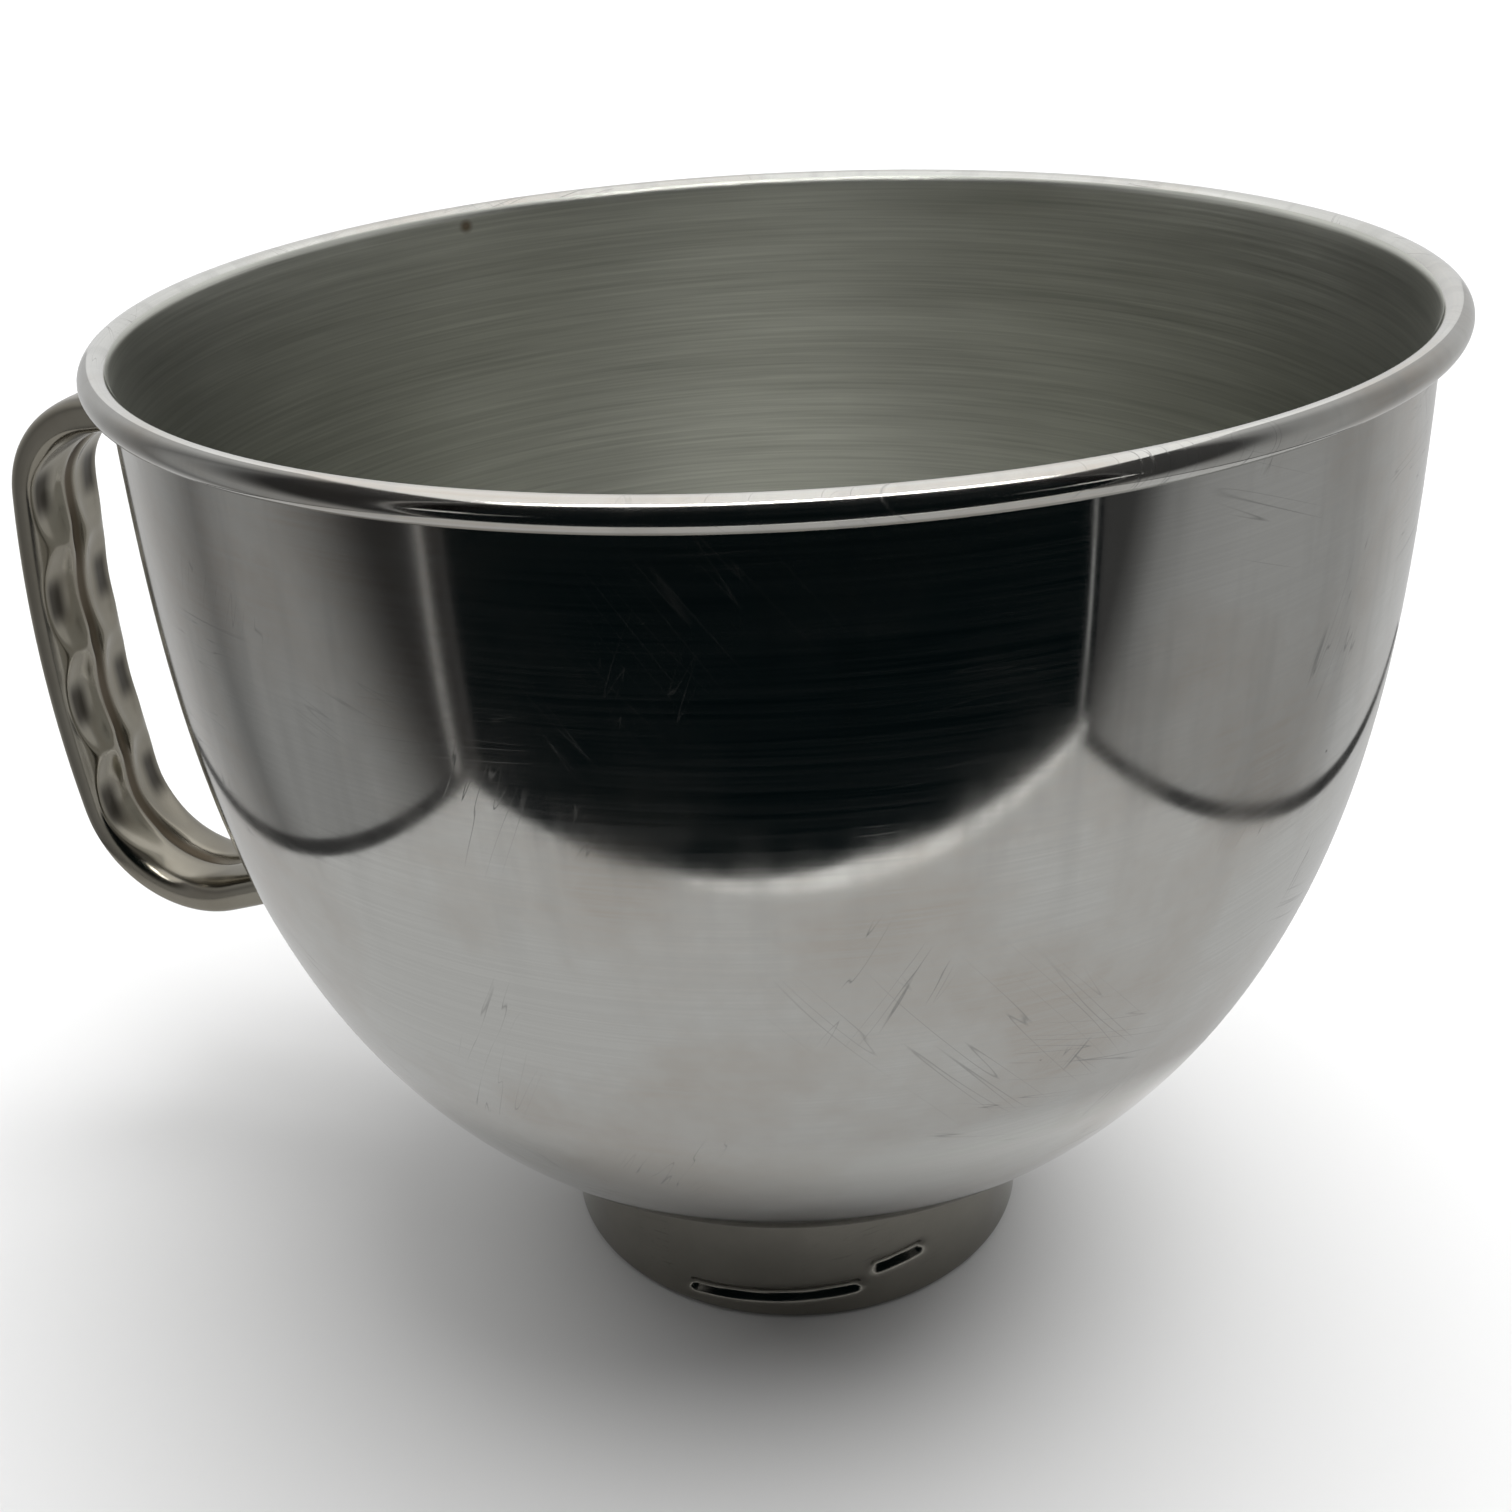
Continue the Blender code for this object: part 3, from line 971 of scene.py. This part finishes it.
# How a card is turned from lying flat. Seen from inside, the X of a card that stands
# sideways runs from the tent's front to its back.
FLAT = ()
UPRIGHT = (("X", 90.0),)
SIDEWAYS = (("Z", 90.0), ("X", 90.0))
# Front edge of the tent's soft floor, which sags forwards in the middle.
FRONT_EDGE = (
    (-244 * MM, -227 * MM),
    (-154 * MM, -245 * MM),
    (-54 * MM, -257 * MM),
    (52 * MM, -268 * MM),
    (161 * MM, -263 * MM),
    (237 * MM, -258 * MM),
)


def finish_glow(tree, strength, colour=(1.0, 1.0, 1.0)):
    """Light of a strength, straight to the material's output."""
    inputs = {"Color": (*colour, 1.0), "Strength": strength}
    light = add_node(tree, "ShaderNodeEmission", inputs)
    add_node(tree, "ShaderNodeOutputMaterial", {"Surface": light})


def emitter(name, strength, colour=(1.0, 1.0, 1.0)):
    material = new_material(name)
    finish_glow(material.node_tree, strength, colour)
    return material


def back_wall_material():
    """Glow of the tent's back wall, brighter up towards the lamps."""
    material = new_material("tent_wall_back")
    tree = material.node_tree
    height = split(tree, own_place(tree))["Y"]
    finish_glow(tree, spread(tree, height, -0.3, 0.5, 0.6, 1.4))
    return material


LAMP_ROW = (420 * MM, 40 * MM)
LAMP_SPACING = 16 * MM
LAMP_STRENGTH = 45.0


def lamp_row_material():
    """Row of small lamps along the tent's top front edge, as bright dots on a dim band."""
    material = new_material("lamp_row_glow")
    tree = material.node_tree
    along = split(tree, own_place(tree))["X"]
    run = times(tree, along, LAMP_ROW[0] / LAMP_SPACING)
    share = add_node(tree, "ShaderNodeMath", {0: run, 1: 0.5}, operation="PINGPONG")
    dots = ramp(tree, share, [(0.10, 1.0), (0.16, 0.06)])
    finish_glow(tree, times(tree, dots, LAMP_STRENGTH))
    return material


def show_in_reflections_only(card, place, material):
    """Places a card in the tent's own frame, where only reflections show it."""
    turn = Matrix.Rotation(math.radians(TENT_TURN_DEG), 4, "Z")
    card.matrix_world = Matrix.Translation((AXIS_X, 0.0, 0.0)) @ turn @ place
    card.data.materials.append(material)
    card.visible_camera = False
    card.visible_diffuse = False
    card.visible_shadow = False
    card.visible_transmission = False


def tent_card(name, place, size, turn, material):
    """A flat card of a size, at a place and turned, in the tent's own frame."""
    deselect_everything()
    bpy.ops.mesh.primitive_plane_add(size=1.0)
    card = bpy.context.active_object
    card.name = name
    local = Matrix.Translation(place)
    for axis, degrees in turn:
        local = local @ Matrix.Rotation(math.radians(degrees), 4, axis)
    local = local @ Matrix.Diagonal((size[0], size[1], 1.0, 1.0))
    show_in_reflections_only(card, local, material)


def graded(tree, run, low, high, stops):
    """A ramp along a run in metres, from (millimetres, grey) stops."""
    share = spread(tree, run, low, high)
    return ramp(
        tree, share, [((place * MM - low) / (high - low), grey) for place, grey in stops]
    )


def side_wall_material(name, stops, shade_stops):
    """Glow of a tent wall: along its length, darker at the front and towards the top."""
    material = new_material(name)
    tree = material.node_tree
    # The card runs 1 along X front to back and 1 along Y floor to top, centred.
    parts = split(tree, own_place(tree))
    depth = times(tree, parts["X"], 2 * TENT_HALF)
    height = plus(tree, parts["Y"], 0.5)
    # Its dark front edge starts further in towards the top: painted shade falling diagonally
    # across the wall.
    run = plus(tree, depth, times(tree, height, -0.46 * TENT_HEIGHT))
    front = graded(tree, run, -0.30, 0.10, stops)
    shade = graded(tree, depth, -0.25, 0.25, shade_stops)
    finish_glow(tree, times(tree, front, shade))
    return material


# Name, strength, angle across, and how far it leans right and back, in degrees.
SOFT_LIGHTS = (
    ("tent_right_light", 2.1, 60.0, (17.5, 4.4)),
    ("tent_back_light", 2.4, 98.0, (-4.5, 21.9)),
    ("all_round_light", 0.45, 170.0, (0.0, 0.0)),
)

CAMERA_PLACE = (123.37 * MM, -304.69 * MM, 260.99 * MM)
CAMERA_RIGHT = (0.94078102, 0.33399931, -0.05809936)
CAMERA_UP = (-0.09451898, 0.42299533, 0.90118872)
CAMERA_LENS = 44.05
CAMERA_SHIFT = (0.0469, -0.0266)


class MIXING_BOWL_OT_stage(bpy.types.Operator):
    """Sets the pale floor, the light tent, the soft light and the camera"""

    bl_idname = "mixing_bowl.stage"
    bl_label = "Stage"

    def execute(self, context):
        scene = context.scene
        scene.view_settings.view_transform = "Standard"
        self.add_floor()
        self.add_tent()
        self.add_light(scene)
        self.add_camera(scene)
        return {"FINISHED"}

    def add_floor(self):
        deselect_everything()
        bpy.ops.mesh.primitive_plane_add(size=40.0)
        floor = bpy.context.active_object
        floor.name = "pale_floor"
        material = new_material("matt_white_card")
        tree = material.node_tree
        shader = add_node(
            tree,
            "ShaderNodeBsdfPrincipled",
            {
                "Base Color": (0.80, 0.80, 0.80, 1.0),
                "Roughness": 0.9,
                "Specular IOR Level": 0.0,
            },
        )
        add_node(tree, "ShaderNodeOutputMaterial", {"Surface": shader})
        floor.data.materials.append(material)

    def add_tent(self):
        wide = 2 * TENT_HALF
        left = side_wall_material(
            "tent_wall_left",
            [(-225, 0.03), (-206, 0.08), (-195, 0.13), (-169, 0.24), (-140, 0.33)],
            [(-40, 1.0), (-5, 0.6), (45, 1.1), (95, 1.5), (140, 1.7)],
        )
        right = side_wall_material(
            "tent_wall_right",
            [(-266, 0.05), (-250, 0.12), (-233, 0.24), (-205, 0.34), (-160, 0.40)],
            [(-60, 0.97), (-20, 0.92), (10, 1.05), (45, 1.25), (100, 1.45)],
        )
        back = back_wall_material()
        tall = TENT_HEIGHT
        middle = tall / 2
        tent_card("tent_left", (-TENT_HALF, 0, middle), (wide, tall), SIDEWAYS, left)
        tent_card("tent_right", (TENT_HALF, 0, middle), (wide, tall), SIDEWAYS, right)
        tent_card("tent_back", (0, TENT_HALF, middle), (wide, tall), UPRIGHT, back)
        ceiling = emitter("tent_ceiling", 1.35)
        tent_card("tent_top", (0, 0, tall), (wide, wide), FLAT, ceiling)
        self.add_dark_room()
        self.add_lit_floor()
        for name, x, y, width, glow in (
            ("strip_left", -TENT_HALF + 1 * MM, -225 * MM, 7 * MM, 0.5),
            ("edge_left", -TENT_HALF + 1 * MM, -250 * MM, 4 * MM, 0.08),
            ("edge_right", TENT_HALF - 6 * MM, -TENT_FRONT, 4 * MM, 0.4),
        ):
            strip = emitter(name + "_glow", glow)
            turn = SIDEWAYS if abs(x) > TENT_HALF - 2 * MM else UPRIGHT
            tent_card(name, (x, y, middle), (width, tall), turn, strip)
        fold = emitter("floor_fold_shade", 0.03)
        for name, x in (("seam_left", -TENT_HALF), ("seam_right", TENT_HALF)):
            place = (x * 0.975, 0, 1.5 * MM)
            tent_card(name, place, (14 * MM, wide), FLAT, fold)
        place = (0, -200 * MM, tall - 4 * MM)
        tent_card("lamp_row", place, LAMP_ROW, FLAT, lamp_row_material())

    def add_dark_room(self):
        """Beyond the tent's open front there is only the dark room."""
        black = emitter("dark_room", 0.0045, (0.3, 0.85, 1.0))
        far = 3.0
        side = 2.0
        edge = [(-side, FRONT_EDGE[0][1]), *FRONT_EDGE, (side, FRONT_EDGE[-1][1])]
        card = draw_line("dark_floor", [(x, y, 1.0 * MM) for x, y in edge])
        extrude_by((0.0, -far, 0.0))
        bpy.ops.object.mode_set(mode="OBJECT")
        show_in_reflections_only(card, Matrix.Identity(4), black)
        tent_card("dark_wall", (0, -far, far / 2), (2 * far, 2 * far), UPRIGHT, black)

    def add_lit_floor(self):
        """The tent's floor as the polished steel shows it: a painted reflection, dimmer than
        the floor the camera sees, round the real floor's shadow.
        """
        material = new_material("tent_floor_glow")
        tree = material.node_tree
        radius = add_node(
            tree, "ShaderNodeVectorMath", {0: own_place(tree)}, operation="LENGTH"
        ).node.outputs["Value"]
        # The card is 1 across, so a radius of 0.5 reaches the wall.
        # Painted shadow: the glow is dimmer towards the bowl, for the tail of the bowl's
        # shadow on the tent floor.
        glow = ramp(tree, radius, [(0.18, 0.48), (0.22, 0.53), (0.28, 0.58), (0.5, 0.61)])
        light = add_node(tree, "ShaderNodeEmission", {"Color": glow})
        clear = add_node(tree, "ShaderNodeBsdfTransparent")
        outside = ramp(tree, radius, [(0.17, 0.0), (0.21, 1.0)])
        both = add_node(tree, "ShaderNodeMixShader", {0: outside, 1: clear, 2: light})
        add_node(tree, "ShaderNodeOutputMaterial", {"Surface": both})
        wide = 2 * TENT_HALF
        tent_card("lit_floor", (0, 0, 0.5 * MM), (wide, wide), FLAT, material)

    def add_light(self, scene):
        world = bpy.data.worlds.new("pale_studio")
        scene.world = world
        world.use_nodes = True
        backdrop = world.node_tree.nodes["Background"].inputs["Color"]
        backdrop.default_value = (1.0, 1.0, 1.0, 1.0)
        world.cycles_visibility.glossy = False
        world.cycles_visibility.diffuse = False
        for name, energy, angle, tilt in SOFT_LIGHTS:
            deselect_everything()
            bpy.ops.object.light_add(type="SUN", location=(0.0, 0.0, 1.0))
            sun = bpy.context.active_object
            sun.name = name
            sun.data.energy = energy
            sun.data.angle = math.radians(angle)
            sun.visible_glossy = False
            turn = Matrix.Rotation(math.radians(TENT_TURN_DEG), 4, "Z")
            lean = [math.tan(math.radians(degrees)) for degrees in tilt]
            towards = turn @ Vector((*lean, 1.0))
            sun.rotation_mode = "QUATERNION"
            sun.rotation_quaternion = towards.to_track_quat("Z", "Y")

    def add_camera(self, scene):
        bpy.ops.object.camera_add()
        camera = bpy.context.active_object
        camera.name = "view_camera"
        right = Vector(CAMERA_RIGHT)
        up = Vector(CAMERA_UP)
        back = right.cross(up)
        turn = Matrix((right, up, back)).transposed().to_4x4()
        camera.matrix_world = Matrix.Translation(CAMERA_PLACE) @ turn
        camera.data.lens = CAMERA_LENS
        camera.data.shift_x, camera.data.shift_y = CAMERA_SHIFT
        camera.data.clip_start = 0.01
        camera.data.clip_end = 100.0
        scene.camera = camera


# --------------------------------------------------------------------- panel


class MIXING_BOWL_PT_panel(bpy.types.Panel):
    """Sizes, colours and the operators that make each piece"""

    bl_label = "Mixing Bowl"
    bl_idname = "MIXING_BOWL_PT_panel"
    bl_space_type = "VIEW_3D"
    bl_region_type = "UI"
    bl_category = "Mixing Bowl"

    def draw(self, context):
        layout = self.layout
        for title, group in SETTINGS:
            box = layout.box()
            box.label(text=title)
            settings = getattr(context.scene, group)
            for name in settings.bl_rna.properties.keys():
                if name not in ("rna_type", "name"):
                    box.prop(settings, name)
        for operator in OPERATORS:
            layout.operator(operator.bl_idname)


SETTINGS = (
    ("Bowl", "bowl_sizes"),
    ("Collar", "collar_sizes"),
    ("Handle", "handle_sizes"),
    ("Finishes", "steel_colours"),
)
GROUPS = (BowlSizes, CollarSizes, HandleSizes, SteelColours)
OPERATORS = (
    MIXING_BOWL_OT_body,
    MIXING_BOWL_OT_collar,
    MIXING_BOWL_OT_handle,
    MIXING_BOWL_OT_stage,
)
CLASSES = GROUPS + OPERATORS + (MIXING_BOWL_PT_panel,)


def register():
    for cls in CLASSES:
        bpy.utils.register_class(cls)
    for (_, name), group in zip(SETTINGS, GROUPS):
        setattr(bpy.types.Scene, name, bpy.props.PointerProperty(type=group))


def unregister():
    for _, name in SETTINGS:
        delattr(bpy.types.Scene, name)
    for cls in reversed(CLASSES):
        bpy.utils.unregister_class(cls)


def main():
    register()
    bpy.ops.mixing_bowl.body()
    bpy.ops.mixing_bowl.collar()
    bpy.ops.mixing_bowl.handle()
    bpy.ops.mixing_bowl.stage()
    bpy.context.view_layer.update()


if __name__ == "__main__":
    main()
